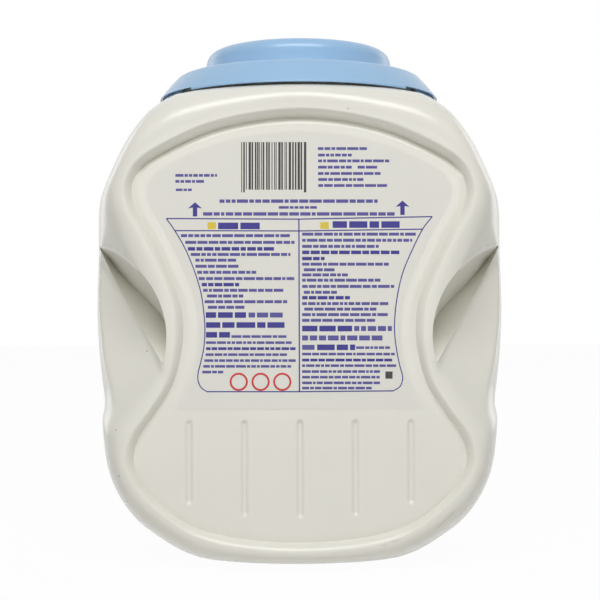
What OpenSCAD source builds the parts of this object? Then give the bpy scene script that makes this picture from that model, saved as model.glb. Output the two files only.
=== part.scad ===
// Tub for laundry pods, in millimetres.
// The back, with the label, faces -Y. +Z is up and the origin is the middle of the base.
// The tub stands on the flat ring of its base. The lid lifts straight up off the neck.

/* [Tub outline] */
// Widest width of the tub, at the side grips
tub_w = 217.4; // [205:0.2:240]
// Depth of the tub over the two shoulder rolls
tub_d = 168; // [160:1:180]
// Height of the shoulder, where the neck starts
shoulder_z = 240; // [236:1:250]
// Height at which the tub is widest
widest_z = 132; // [128:1:136]
// Height from which the shoulder narrows
shoulder_low_z = 178; // [176:1:180]
// Width of the tub across the slight waist under the grips
waist_w = 207.6; // [203:0.2:213]
// Height of the slight waist
waist_z = 79; // [77:1:82]
// Width of the tub across the lower bulge
bulge_w = 207.6; // [200:0.2:213]
// Height of the lower bulge
bulge_z = 70; // [60:1:74]
// Width of the standing ring of the base
base_w = 112; // [104:1:124]
// Depth of the standing ring of the base
base_d = 106; // [98:1:120]
// Flatness of the lower corners, where 1 is an ellipse
corner_flat = 1.1; // [1:0.01:1.2]
// Width of the flat face of the standing ring
ring_w = 4; // [2:0.5:8]
// Height of the push-up in the middle of the base
push_up = 3; // [1:0.5:8]
// Thickness of the blown wall
wall = 1.2; // [1:0.1:1.6]
// Squareness of the rolls at shoulder, sides and base, where 1 is an ellipse
roll_square = 0.84; // [0.75:0.01:1]

/* [Panel] */
// Half width of the panel across its upper lobe
lobe_top_w = 82; // [78:0.5:86]
// Half width of the panel across its lower lobe
lobe_low_w = 81.5; // [78:0.5:85]
// Half width of the panel at its waist
panel_waist_w = 57; // [54:0.5:60]
// Height of the panel's waist
panel_waist_z = 121; // [118:0.5:124]
// Height of the lowest point of the panel's outline
panel_low_z = 13.5; // [12:0.5:16]
// Height of the highest point of the panel's outline
panel_top_z = 219.5; // [217:0.5:222]
// How far the panel's flat lies in from the crest of the rolls
panel_in = 3.6; // [2:0.1:5]
// Depth of the valley round the panel, below its flat
valley_in = 1.5; // [0.6:0.1:2]
// Width of the rolled edge between the valley and the crest outside it
crest_w = 6; // [5:0.5:8]
// Width of the bead between the valley and the flat inside it
bead_w = 3.4; // [2.5:0.1:5]
// Sharpness of the valley round the panel, where 1 is a plain wave
edge_sharp = 2; // [1:0.1:2.5]

/* [Grips] */
// Distance of a grip's floor from the middle plane, where it is deepest
grip_floor = 34; // [32:1:46]
// Rise of the steep wall of a grip per millimetre
grip_wall_rise = 2; // [1.6:0.1:3]
// Rise of the ramp at the grip's lower end per millimetre
ramp_rise = 2.4; // [1.6:0.1:3]
// Distance from the middle to the foot of the steep wall at its lower end
grip_foot_x = 73; // [70:0.2:76]
// Height of the foot of the steep wall at its lower end
grip_foot_z = 106.5; // [100:0.5:112]
// Lean of the foot line from upright, in degrees
grip_lean = 33; // [24:1:40]
// Lean of the ramp at the grip's lower end, in degrees
ramp_lean = 38.3; // [30:0.1:46]
// Width of the bend at the foot of the steep wall
foot_bend = 3; // [2.5:0.5:6]
// Width of the bend between the floor and the ramp
ramp_bend = 30; // [26:1:36]
// Width of the rounding where a grip cuts the rolls
grip_round = 3; // [2:0.5:4]

/* [Grooves] */
// Number of upright grooves in the lower lobe of the back panel
groove_count = 5; // [3:2:5]
// Distance between the grooves
groove_pitch = 27.2; // [24:0.2:28]
// Width of a groove
groove_w = 4.4; // [3:0.1:6]
// Depth of a groove
groove_d = 1.3; // [0.6:0.1:2]
// Height of the grooves' upper ends
groove_top_z = 74; // [70:0.5:78]
// Height of the middle groove's lower end
groove_low_z = 25.4; // [24:0.2:28]
// How much higher the outermost grooves end
groove_rise = 6.6; // [4:0.1:9]

/* [Neck] */
// Radius of the mouth
mouth_r = 60.5; // [58:0.1:62]
// Thickness of the neck's wall
neck_wall = 2; // [1.6:0.1:3]
// Height of the neck over the shoulder
neck_h = 11; // [10:0.5:12]
// How far the bead at the neck's top stands out
bead_out = 2.6; // [1.5:0.1:3]
// Height of the bead at the neck's top
bead_h = 1.6; // [1:0.1:2]

/* [Lid] */
// Radius of the lid's rim
rim_r = 76.5; // [75:0.1:79]
// Gap between the rim and the top of the shoulder
rim_gap = 0.2; // [0.1:0.1:1]
// Height of the crest of the collar over the rim
collar_h = 12.7; // [12:0.1:14]
// Radius of the crest of the collar
crest_r = 66; // [64:0.1:68]
// Radius of the raised disc
disc_r = 51; // [44:0.5:54]
// Height of the raised disc over the collar's shelf
disc_h = 14.2; // [10:0.1:18]
// Radius of the rounded edge round the disc
disc_edge_r = 7; // [2:0.1:8]
// Thickness of the lid's wall
lid_wall = 1.5; // [1.2:0.1:2]
// Height of the sealing ring that enters the mouth
plug_h = 6; // [4:0.5:9]
// Clearance between the sealing ring and the mouth
plug_gap = 0.3; // [0.2:0.05:0.6]

/* [Release tabs] */
// Angle that each side slot in the rim takes up
slot_angle = 88; // [76:1:96]
// Height of the side slots
slot_h = 2.4; // [1.5:0.1:3]
// Angle that the lip of a tab takes up
tab_angle = 66; // [50:1:70]
// Thickness of a tab's lip
tab_t = 1.4; // [1:0.1:1.6]
// Clearance between a tab and the inside of the collar
tab_gap = 0.45; // [0.4:0.05:0.6]
// How far the top of a tab's lip leans in, so that its ends clear the collar when it is pressed
lip_lean = 0.45; // [0.35:0.05:0.6]
// Distance of a tab's pivot from the middle
pivot_x = 68.5; // [68:0.1:68.8]
// Height of a tab's pivot over the rim
pivot_h = 5.2; // [5:0.1:5.4]
// Radius of a pivot pin
pivot_r = 1.1; // [0.8:0.1:1.4]
// Clearance round a pivot pin
pivot_gap = 0.08; // [0.05:0.01:0.1]
// Half length of a tab's arm along its pivot
arm_half = 14; // [10:0.5:18]
// Thickness of a pivot lug
lug_t = 2; // [1.5:0.1:3]
// Clearance at the sides of a tab's arm
arm_gap = 0.4; // [0.3:0.05:0.8]
// Clearance between a tab's tooth and the neck's bead
tooth_gap = 0.4; // [0.3:0.05:0.8]

/* [Label] */
// Thickness of the label film
film_t = 0.12; // [0.1:0.01:0.3]
// Distance of the film's edge in from the valley round the panel
film_in = 7; // [5:0.5:10]
// Height of the film's lower edge
film_low_z = 79; // [77:0.5:84]

/* [Hidden] */
// Round faces of the neck and the lid
$fn = 144;
white = [0.93, 0.93, 0.90];
light_blue = [0.66, 0.82, 0.93];
film_colour = [0.86, 0.85, 0.80];
// Columns of the tub's skin in a quarter: base, side and neck
base_cols = 8;
side_cols = 26;
neck_cols = 8;
quarter_cols = base_cols + side_cols + neck_cols;
half_cols = 2 * quarter_cols;
// Rows of the skin from the outline to the crest of the roll, as angles round the roll
roll_angles = [0, 12, 24, 36, 47, 57, 66, 73, 79, 84.5];
roll_rows = len(roll_angles);
// Steps across the rolled edge, the valley and the bead, as shares of their widths
edge_steps = [1, 0.66, 0.36, 0.14, 0, -0.2, -0.5, -0.78, -1];
edge_rows = len(edge_steps);
skin_rows = roll_rows + edge_rows;
half_d = tub_d / 2;
half_w = tub_w / 2;
flat_y = half_d - panel_in;
// The skin meets the neck's wall in its middle
root_r = mouth_r + neck_wall / 2;
neck_top = shoulder_z + neck_h;
neck_out_r = mouth_r + neck_wall;

// Smooth curve through points

// Point of a Catmull-Rom piece between b and c at t from 0 to 1
function piece(a, b, c, d, t) =
    0.5 * (2 * b + (c - a) * t + (2 * a - 5 * b + 4 * c - d) * t * t
    + (3 * b - a - 3 * c + d) * t * t * t);

// Point before the first or after the last of p: its mirror image where p ends at X = 0
function beyond(end, next) = end[0] == 0 ? [-next[0], next[1]] : 2 * end - next;
// Point of the curve through p at u, counted in points
function along(p, u, i) =
    let (last = len(p) - 1)
    piece(i > 0 ? p[i - 1] : beyond(p[0], p[1]), p[i], p[i + 1],
        i + 2 <= last ? p[i + 2] : beyond(p[last], p[last - 1]), u - i);
function curve(p, u) = along(p, u, min(floor(u), len(p) - 2));

// Softly bent max(0, d), whose bend is k wide
function soft_rise(d, k) = (d + sqrt(d * d + k * k)) / 2;
// Softly bent min(a, b)
function soft_min(a, b, k) = a - soft_rise(a - b, k);

// Outline of the tub in its middle plane, from the base ring up to the neck

corner_w = (bulge_w - base_w) / 2;
shoulder_h = shoulder_z - shoulder_low_z;
function shoulder_point(x_in, share) = [half_w - x_in, shoulder_z - shoulder_h * share];
side_line = concat(
    [for (a = [0 : 22.5 : 90]) [base_w / 2 + corner_w * pow(sin(a), corner_flat), bulge_z * (1 - cos(a))]],
    [[waist_w / 2, waist_z],
    [half_w - 2.5, widest_z - 40],
    [half_w - 0.5, widest_z - 20],
    [half_w, widest_z],
    [half_w - 1.2, widest_z + 23]],
    [shoulder_point(3.2, 1),
    shoulder_point(6.2, 0.83),
    shoulder_point(11.6, 0.63),
    shoulder_point(16.5, 0.47),
    shoulder_point(22.8, 0.31),
    shoulder_point(30.5, 0.152),
    shoulder_point(37.5, 0.03)],
    [[root_r + 6, shoulder_z],
    [root_r, shoulder_z]]);

// Outline of the panel, the bottom of the valley, from its lowest point up to its highest

panel_line = [
    [0, panel_low_z],
    [lobe_low_w * 0.393, panel_low_z + 2.5],
    [lobe_low_w * 0.687, panel_low_z + 9.5],
    [lobe_low_w - 9.5, panel_low_z + 21],
    [lobe_low_w - 1.5, panel_low_z + 33.5],
    [lobe_low_w, panel_low_z + 43.5],
    [lobe_low_w - 3, panel_low_z + 53],
    [lobe_low_w - 11, panel_low_z + 64.5],
    [panel_waist_w + 5, panel_waist_z - 29],
    [panel_waist_w + 0.7, panel_waist_z - 13],
    [panel_waist_w, panel_waist_z],
    [panel_waist_w + 1.8, panel_waist_z + 12],
    [panel_waist_w + 7.5, panel_waist_z + 26],
    [lobe_top_w - 9, panel_top_z - 57.5],
    [lobe_top_w - 2, panel_top_z - 45.5],
    [lobe_top_w, panel_top_z - 35.5],
    [lobe_top_w - 3, panel_top_z - 27],
    [lobe_top_w * 0.84, panel_top_z - 18],
    [lobe_top_w * 0.475, panel_top_z - 5.5],
    [0, panel_top_z]];

// Where a side column starts on the outline and ends on the panel, both counted in points
side_start = [[0, 0], [5, 3.9], [9, 5.7], [16, 8.7], [19, 9.9], [21, 11.3], [26, 18]];
side_end = [[0, 2.5], [5, 5], [9, 8], [16, 11.4], [19, 14], [21, 15.7], [26, 17.4]];
last_panel_point = len(panel_line) - 1;

// Skin of the tub, as a grid of columns and rows

// Columns count from the lowest point of the panel up its right side, then down its left side
function quarter_col(k) = k <= quarter_cols ? k : half_cols - k;
function side_sign(k) = k <= quarter_cols ? 1 : -1;

// Point of the outline inset by the wall: base ring, side or neck, with y towards the back
function base_start(q, inset) =
    [base_w / 2 * sin(90 * q / base_cols), base_d / 2 * cos(90 * q / base_cols), inset];
function neck_start(q, inset) =
    [root_r * sin(90 * (quarter_cols - q) / neck_cols),
    root_r * cos(90 * (quarter_cols - q) / neck_cols), shoulder_z - inset];
function side_slope(u) = curve(side_line, min(u + 0.01, len(side_line) - 1))
    - curve(side_line, max(u - 0.01, 0));
function side_point(u, inset) =
    curve(side_line, u) + inset * [-side_slope(u)[1], side_slope(u)[0]] / norm(side_slope(u));
function inset_side(p, inset) =
    [max(p[0], 0), 0, min(max(p[1], inset), shoulder_z - inset)];
function start_point(q, inset) =
    q < base_cols ? base_start(q, inset)
    : q > base_cols + side_cols ? neck_start(q, inset)
    : q == base_cols ? [base_w / 2, 0, inset]
    : q == base_cols + side_cols ? [root_r, 0, shoulder_z - inset]
    : inset_side(side_point(lookup(q - base_cols, side_start), inset), inset);

// Point of the panel's outline that a column runs to
function end_at(q) =
    q < base_cols ? side_end[0][1] * q / base_cols
    : q > base_cols + side_cols
    ? last_panel_point - (last_panel_point - side_end[6][1]) * (quarter_cols - q) / neck_cols
    : lookup(q - base_cols, side_end);
function end_point(q) = curve(panel_line, end_at(q));

// Unit vector in the panel's plane from the panel's outline to the tub's
function outward(q, s) = (s - end_point(q)) / norm(s - end_point(q));

// Depth at a step of the rolled edge and of the bead, which fall steeply close to the valley
function edge_wave(t) = pow((1 + cos(180 * t)) / 2, edge_sharp);
function edge_depth(t, inset) =
    half_d - inset - (t >= 0 ? (panel_in + valley_in) * edge_wave(t)
    : panel_in + valley_in * edge_wave(t));

// Floor and walls of a grip as a distance from the middle plane
function foot_away(x, z) =
    -(x - grip_foot_x) * cos(grip_lean) + (z - grip_foot_z) * sin(grip_lean);
function ramp_away(x, z) =
    -(x - grip_foot_x) * cos(ramp_lean) - (z - grip_foot_z) * sin(ramp_lean);
// The inner skin lies deeper and its foot further out, for an even wall on the slopes
deeper = 1.35;
further = 0.6;
function grip_depth(x, z, inset) =
    grip_floor - deeper * inset + ramp_rise * soft_rise(ramp_away(x, z), ramp_bend)
    + grip_wall_rise * soft_rise(foot_away(x, z) - further * inset, foot_bend);

// The skin before the grips are pressed in
function roll_point(s, c, y0, f, inset) =
    let (away = pow(cos(f), roll_square), out = pow(sin(f), roll_square))
    [c[0] + (s[0] - c[0]) * away,
    y0 + (half_d - inset - y0) * out,
    c[1] + (s[1] - c[1]) * away];
function edge_point(e, o, t, inset) =
    [e[0] + o[0] * t * (t > 0 ? crest_w : bead_w), edge_depth(t, inset),
    e[1] + o[1] * t * (t > 0 ? crest_w : bead_w)];
function plain_point(q, row, inset, s3) =
    let (s = [s3[0], s3[2]], e = end_point(q), o = outward(q, s))
    row < roll_rows ? roll_point(s, e + o * crest_w, s3[1], roll_angles[row], inset)
    : edge_point(e, o, edge_steps[row - roll_rows], inset);
function pressed(p, inset) =
    [p[0], soft_min(p[1], grip_depth(p[0], p[2], inset), grip_round), p[2]];
function skin_point(q, row, inset) =
    row == 0 ? start_point(q, inset)
    : pressed(plain_point(q, row, inset, start_point(q, inset)), inset);
// side is -1 for the back half, which faces -Y, and 1 for the front half
function skin(k, row, side, inset) =
    let (p = skin_point(quarter_col(k), row, inset))
    [p[0] * side_sign(k), side * p[1], p[2]];

// Grooved field in the flat of the back panel, as a grid of upright and level lines

groove_half_n = (groove_count - 1) / 2;
// Half width of the field, and how far and how high its sides bend in at the panel's waist
field_w = 62;
field_top_share = (lobe_top_w - 20) / field_w;
field_bend = 0.19;
field_bend_h = 24;
field_x = concat([-field_w],
    [for (i = [-2 : 2]) for (t = [-1, 0, 1]) i * groove_pitch + t * groove_w / 2],
    [field_w]);
field_low = groove_low_z - 4;
field_s = [0, 2.4, 4, 5.4, 8, 16, 26, 36, 44, groove_top_z - field_low - 1.4,
    groove_top_z - field_low, groove_top_z - field_low + 2];
function field_low_edge(x) = field_low + groove_rise * pow(abs(x) / (2 * groove_pitch), 3);
function field_top_edge(x) = panel_top_z - 8.5 - 14 * pow(x / field_w, 2);
function field_pinch(z) = (1 - field_bend * exp(-pow((z - panel_waist_z) / field_bend_h, 2)))
    * (z > panel_waist_z ? field_top_share : 1);
function level_z(x, j) =
    j <= 11 ? (field_low_edge(x) + field_s[j]) * (1 - j / 11) + (field_low + field_s[j]) * j / 11
    : (field_low + field_s[11]) * (side_cols - j) / (side_cols - 11)
    + field_top_edge(x) * (j - 11) / (side_cols - 11);
function groove_number(x) = round(x / groove_pitch);
function in_groove(x, z) =
    abs(groove_number(x)) <= groove_half_n
    && abs(x - groove_number(x) * groove_pitch) < 0.1
    && z > field_low_edge(x) + 3 && z < groove_top_z - 0.7;
function field_point(i, j) =
    let (x = field_x[i], z = level_z(x, j))
    [x * field_pinch(z), -(flat_y - (in_groove(x, z) ? groove_d : 0)), z];
// The field's rim, in the order of the columns
function rim_point(k) =
    k <= base_cols ? field_point(base_cols + k, 0)
    : k <= base_cols + side_cols ? field_point(2 * base_cols, k - base_cols)
    : k <= quarter_cols + neck_cols
    ? field_point(3 * base_cols + side_cols - k, side_cols)
    : k <= half_cols - base_cols ? field_point(0, 2 * quarter_cols - base_cols - k)
    : field_point(k - half_cols + base_cols, 0);

// Numbering of the points of the skin

outer_n = half_cols * skin_rows;
inner_rows = [0, 2, 4, 5, 6, 7, 8, 9, 10, 14, 18];
inner_n = half_cols * len(inner_rows);
base_ring = [for (k = [-base_cols : base_cols]) (k + half_cols) % half_cols];

function id(block, k, row) = block + row * half_cols + k % half_cols;
function band(block, rows, flip) =
    [for (row = [0 : rows - 2]) for (k = [0 : half_cols - 1])
        let (a = id(block, k, row), b = id(block, k + 1, row),
            c = id(block, k + 1, row + 1), d = id(block, k, row + 1))
        each halves(a, b, c, d, k < quarter_cols, flip)];
// Two triangles of a cell, split alike on the left and the right
function halves(a, b, c, d, right, flip) =
    let (cut = right ? [[a, b, c], [a, c, d]] : [[a, b, d], [b, c, d]])
    flip ? cut : [for (t = cut) [t[2], t[1], t[0]]];
function loop_ids(block, row) = [for (k = [0 : half_cols - 1]) id(block, k, row)];
function turned(list) = [for (i = [len(list) - 1 : -1 : 0]) list[i]];

module tub_skin() {
    back = [for (row = [0 : skin_rows - 1]) for (k = [0 : half_cols - 1]) skin(k, row, -1, 0)];
    front = [for (row = [0 : skin_rows - 1]) for (k = [0 : half_cols - 1]) skin(k, row, 1, 0)];
    back_in = [for (row = inner_rows) for (k = [0 : half_cols - 1]) skin(k, row, -1, wall)];
    front_in = [for (row = inner_rows) for (k = [0 : half_cols - 1]) skin(k, row, 1, wall)];
    field = [for (j = [0 : side_cols]) for (i = [0 : 2 * base_cols]) field_point(i, j)];
    // Rings of the base: foot's inner edge and the edge of the push-up, outside and inside
    foot = base_rings(ring_w, 0);
    rise = base_rings(ring_w + 5, push_up);
    foot_in = base_rings(ring_w, wall);
    rise_in = base_rings(ring_w + 5, push_up + wall);
    front_at = outer_n;
    back_in_at = 2 * outer_n;
    front_in_at = back_in_at + inner_n;
    field_at = front_in_at + inner_n;
    foot_at = field_at + len(field);
    ring_n = 4 * base_cols;
    points = concat(back, front, back_in, front_in, field, foot, rise, foot_in, rise_in);
    last_in = len(inner_rows) - 1;
    faces = concat(
        band(0, skin_rows, true),
        band(front_at, skin_rows, false),
        band(back_in_at, len(inner_rows), false),
        band(front_in_at, len(inner_rows), true),
        field_faces(field_at, id(0, 0, skin_rows - 1)),
        [loop_ids(front_at, skin_rows - 1)],
        [turned(loop_ids(front_in_at, last_in))],
        [loop_ids(back_in_at, last_in)],
        ring_faces(ring_ids(0, front_at), span(foot_at, ring_n)),
        ring_faces(span(foot_at, ring_n), span(foot_at + ring_n, ring_n)),
        [span(foot_at + ring_n, ring_n)],
        ring_faces(span(foot_at + 2 * ring_n, ring_n), ring_ids(back_in_at, front_in_at)),
        ring_faces(span(foot_at + 3 * ring_n, ring_n), span(foot_at + 2 * ring_n, ring_n)),
        [turned(span(foot_at + 3 * ring_n, ring_n))],
        ring_faces(mouth_ids(0, front_at), mouth_ids(back_in_at, front_in_at)));
    polyhedron(points, faces, convexity = 10);
}

// Ring of the base moved in and up, in the order of ring_ids
function base_rings(inward, z) =
    [for (i = [0 : 4 * base_cols - 1])
        let (a = 90 * (i - base_cols) / base_cols)
        [(base_w / 2 - inward) * sin(a), -(base_d / 2 - inward) * cos(a), z]];
// The ring of the base from the left over the back to the right, and round the front
function ring_ids(back_at, front_at) =
    concat([for (k = [-base_cols : base_cols]) back_at + (k + half_cols) % half_cols],
        [for (k = [base_cols - 1 : -1 : 1 - base_cols]) front_at + (k + half_cols) % half_cols]);
// The ring of the neck from the left over the back to the right, and round the front
function mouth_ids(back_at, front_at) =
    concat([for (k = [neck_cols : -1 : -neck_cols]) back_at + quarter_cols + k],
        [for (k = [1 - neck_cols : neck_cols - 1]) front_at + quarter_cols + k]);
function span(from, n) = [for (i = [0 : n - 1]) from + i];
function ring_faces(a, b) =
    [for (i = [0 : len(a) - 1])
        let (n = (i + 1) % len(a)) [a[i], b[i], b[n], a[n]]];

// Faces of the grooved field, and of the flat between it and the bead
function field_id(at, i, j) = at + j * (2 * base_cols + 1) + i;
function rim_id(at, k) =
    k <= base_cols ? field_id(at, base_cols + k, 0)
    : k <= base_cols + side_cols ? field_id(at, 2 * base_cols, k - base_cols)
    : k <= quarter_cols + neck_cols
    ? field_id(at, 3 * base_cols + side_cols - k, side_cols)
    : k <= half_cols - base_cols ? field_id(at, 0, 2 * quarter_cols - base_cols - k)
    : field_id(at, k - half_cols + base_cols, 0);
function field_faces(at, bead_at) = concat(
    [for (j = [0 : side_cols - 1]) for (i = [0 : 2 * base_cols - 1])
        [field_id(at, i, j), field_id(at, i + 1, j), field_id(at, i + 1, j + 1),
        field_id(at, i, j + 1)]],
    [for (k = [0 : half_cols - 1])
        [bead_at + k, bead_at + (k + 1) % half_cols, rim_id(at, (k + 1) % half_cols),
        rim_id(at, k)]]);

module neck() {
    // The neck's foot lies inside the shoulder's wall
    foot_z = shoulder_z - wall / 2;
    bead_r = neck_out_r + bead_out;
    rotate_extrude()
        polygon([[mouth_r, foot_z], [neck_out_r, foot_z],
            [neck_out_r, neck_top - bead_h - 1],
            [bead_r, neck_top - bead_h], [bead_r, neck_top - 0.4],
            [bead_r - 0.4, neck_top], [mouth_r, neck_top]]);
}

module tub() {
    color(white)
        union() {
            tub_skin();
            neck();
        }
}

// Lid

rim_z = shoulder_z + rim_gap;
crest_z = rim_z + collar_h;
shelf_z = crest_z + 1.1;
disc_top = shelf_z + disc_h;

// Outline of the lid's outside from the rim to the middle: the collar's slope bulges a little
collar_bulge = 0.2;
rim_face = 0.8;
collar_line = [for (s = [0 : 0.125 : 1])
    let (bulge = collar_bulge * sin(180 * s))
    [rim_r + (crest_r + 0.6 - rim_r) * s + bulge,
    rim_z + rim_face + (collar_h - 1) * s + bulge]];
disc_line = [for (a = [0 : 15 : 90])
    [disc_r - 0.4 - disc_edge_r * (1 - cos(a)), disc_top - disc_edge_r * (1 - sin(a))]];
outside_line = concat([[rim_r, rim_z]], collar_line,
    [[crest_r - 0.8, crest_z + 0.55], [crest_r - 3, shelf_z],
    [disc_r + 0.6, shelf_z + 0.2], [disc_r, shelf_z + 0.8]],
    disc_line, [[0, disc_top]]);
// The inside keeps the wall's thickness across the slope, the shelf, the disc and its top
slope_in = lid_wall * 0.88;
inside_line = concat(
    [[rim_r - lid_wall, rim_z], [rim_r - lid_wall, rim_z + rim_face]],
    [for (i = [1 : 7]) collar_line[i] - slope_in * [1, i / 7]],
    [[crest_r - 1.6, shelf_z - lid_wall - 0.2], [crest_r - 3, shelf_z - lid_wall],
    [disc_r - lid_wall, shelf_z - lid_wall + 0.2],
    [disc_r - 0.4 - lid_wall, disc_top - disc_edge_r],
    [disc_r - 0.4 - disc_edge_r, disc_top - lid_wall], [0, disc_top - lid_wall]]);

module lid_inside_space() {
    rotate_extrude()
        polygon(concat(inside_line, [[0, rim_z]]));
}

module lid_outside_solid() {
    rotate_extrude()
        polygon(concat(outside_line, [[0, rim_z]]));
}

// Ring sector between two radii and two heights, centred on the +X axis
module sector(r_in, r_out, z_low, z_top, angle) {
    rotate([0, 0, -angle / 2])
        rotate_extrude(angle = angle)
            polygon([[r_in, z_low], [r_out, z_low], [r_out, z_top], [r_in, z_top]]);
}

pivot_z = rim_z + pivot_h;
plug_r = mouth_r - plug_gap;
plug_in_r = plug_r - lid_wall;
shelf_low_z = shelf_z - lid_wall;
lug_near = arm_half + arm_gap;
lug_far = lug_near + lug_t;
slot_top_z = rim_z + slot_h;

module pivot_lug(y) {
    intersection() {
        lid_outside_solid();
        translate([pivot_x - 2 * pivot_r, y, slot_top_z + 1])
            cube([3.6 * pivot_r, lug_t, collar_h]);
    }
}

// Sealing ring that enters the mouth, with the seat that rests on the neck's top
module sealing_ring() {
    rotate_extrude()
        polygon([[plug_in_r, shelf_low_z - plug_h], [plug_r, shelf_low_z - plug_h],
            [plug_r, neck_top], [neck_out_r + 1, neck_top],
            [neck_out_r + 1, shelf_low_z + 0.3], [plug_in_r, shelf_low_z + 0.3]]);
}

module side_slot() {
    sector(rim_r - 2 * lid_wall, rim_r + 4, rim_z - 1, slot_top_z, slot_angle);
}

module pin_bore() {
    translate([pivot_x, 0, pivot_z])
        rotate([90, 0, 0])
            cylinder(r = pivot_r + pivot_gap, h = 2 * lug_far + 0.2, center = true);
}

module lid() {
    color(light_blue)
        difference() {
            union() {
                difference() {
                    lid_outside_solid();
                    lid_inside_space();
                }
                sealing_ring();
                for (side = [0, 180])
                    rotate([0, 0, side]) {
                        pivot_lug(lug_near);
                        pivot_lug(-lug_far);
                    }
            }
            for (side = [0, 180])
                rotate([0, 0, side]) {
                    side_slot();
                    pin_bore();
                }
        }
}

// Release tabs

// Inner radius of the collar by height, and the radius that a tab keeps inside it
collar_by_z = [for (i = [1 : 8]) [inside_line[i][1], inside_line[i][0]]];
function tab_r(z) = lookup(z, collar_by_z) - tab_gap;
tooth_r = neck_out_r + bead_out + tooth_gap;
lip_low_z = rim_z + 0.5;
arm_low_z = pivot_z - pivot_r - 0.5;
arm_top_z = pivot_z + pivot_r + 0.4;
tooth_top_z = neck_top - bead_h - 1.4;

// Lip that shows in the slot
module tab_lip() {
    rotate([0, 0, -tab_angle / 2])
        rotate_extrude(angle = tab_angle)
            polygon([[tab_r(lip_low_z), lip_low_z], [tab_r(slot_top_z) - lip_lean, slot_top_z],
                [tab_r(slot_top_z) - lip_lean - tab_t, slot_top_z], [tab_r(lip_low_z) - tab_t, lip_low_z]]);
}

// Web up from the lip, arm in to the neck and tooth that stands before the neck's bead
module tab_arm() {
    intersection() {
        rotate([0, 0, -tab_angle / 2])
            rotate_extrude(angle = tab_angle)
                polygon([[tab_r(slot_top_z) - tab_t, slot_top_z - 0.5],
                    [tab_r(slot_top_z), slot_top_z - 0.5], [tab_r(slot_top_z), slot_top_z],
                    [tab_r(pivot_z), pivot_z], [tab_r(arm_top_z), arm_top_z],
                    [tooth_r + tab_t, arm_top_z], [tooth_r + tab_t, tooth_top_z],
                    [tooth_r, tooth_top_z], [tooth_r, arm_low_z],
                    [tab_r(arm_low_z) - tab_t, arm_low_z]]);
        translate([0, -arm_half, rim_z])
            cube([rim_r, 2 * arm_half, collar_h]);
    }
}

module release_tab() {
    union() {
        tab_lip();
        tab_arm();
        translate([pivot_x, 0, pivot_z])
            rotate([90, 0, 0])
                cylinder(r = pivot_r, h = 2 * lug_far - 0.4, center = true);
    }
}

module release_tab_right() {
    color(light_blue)
        release_tab();
}

module release_tab_left() {
    color(light_blue)
        rotate([0, 0, 180])
            release_tab();
}

// Label

// Outline of the film: the panel's outline moved in, from a point below the film's lower edge
film_first = 6.6;
film_steps = 24;
function panel_slope(u) = curve(panel_line, min(u + 0.01, last_panel_point))
    - curve(panel_line, max(u - 0.01, 0));
function film_point(u) =
    curve(panel_line, u) + film_in * [-panel_slope(u)[1], panel_slope(u)[0]] / norm(panel_slope(u));

module back_label() {
    step_u = (last_panel_point - film_first) / film_steps;
    right = [for (i = [0 : film_steps]) film_point(film_first + step_u * i)];
    left = [for (i = [film_steps - 1 : -1 : 0]) [-right[i][0], right[i][1]]];
    color(film_colour)
        translate([0, -flat_y, 0])
            rotate([90, 0, 0])
                intersection() {
                    linear_extrude(film_t)
                        polygon(concat(right, left));
                    translate([-half_w, film_low_z, -1])
                        cube([tub_w, panel_top_z, 2]);
                }
}

tub();
lid();
release_tab_left();
release_tab_right();
back_label();
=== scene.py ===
import math
import random

import bpy
import numpy as np
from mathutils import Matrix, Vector
from mathutils.bvhtree import BVHTree
from mathutils.geometry import delaunay_2d_cdt


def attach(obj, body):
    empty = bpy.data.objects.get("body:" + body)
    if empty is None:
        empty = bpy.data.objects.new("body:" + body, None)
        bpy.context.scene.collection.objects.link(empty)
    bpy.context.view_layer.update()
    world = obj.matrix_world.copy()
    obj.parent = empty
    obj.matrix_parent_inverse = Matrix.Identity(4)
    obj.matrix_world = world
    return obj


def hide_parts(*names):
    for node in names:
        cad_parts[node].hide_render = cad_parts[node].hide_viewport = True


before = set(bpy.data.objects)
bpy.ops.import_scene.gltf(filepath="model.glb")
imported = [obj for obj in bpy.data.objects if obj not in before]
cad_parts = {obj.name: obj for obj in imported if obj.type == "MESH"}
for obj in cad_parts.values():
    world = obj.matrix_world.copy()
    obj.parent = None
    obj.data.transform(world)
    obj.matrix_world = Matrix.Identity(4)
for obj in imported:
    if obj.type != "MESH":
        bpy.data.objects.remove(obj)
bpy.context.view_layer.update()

# Sizes are in millimetres here and go to metres in new_piece(). They are those of the part's source,
# apart from PANEL_TOP_Z, CREST_W, BEAD_W, EDGE_SHARP, FOOT_BEND, GRIP_ROUND and SLOT_H, which follow
# the photograph more closely.
MM = 0.001

# Tub
TUB_W, TUB_D, SHOULDER_Z = 217.4, 168.0, 240.0
WIDEST_Z, SHOULDER_LOW_Z = 132.0, 178.0
WAIST_W, WAIST_Z, BULGE_W, BULGE_Z = 207.6, 79.0, 207.6, 70.0
BASE_W, BASE_D, RING_W, RING_SLOPE, PUSH_UP = 112.0, 106.0, 4.0, 5.0, 3.0
CORNER_FLAT, WALL, ROLL_SQUARE = 1.1, 1.2, 0.84
LOBE_TOP_W, LOBE_LOW_W, PANEL_WAIST_W, PANEL_WAIST_Z = 82.0, 81.5, 57.0, 121.0
PANEL_LOW_Z, PANEL_TOP_Z, PANEL_IN, VALLEY_IN = 13.5, 222.3, 3.6, 1.5
CREST_W, BEAD_W, EDGE_SHARP = 4.0, 3.6, 1.7
GRIP_FLOOR, GRIP_WALL_RISE, RAMP_RISE = 34.0, 2.0, 2.4
GRIP_FOOT_X, GRIP_FOOT_Z, GRIP_LEAN, RAMP_LEAN = 73.0, 106.5, 33.0, 38.3
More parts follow.
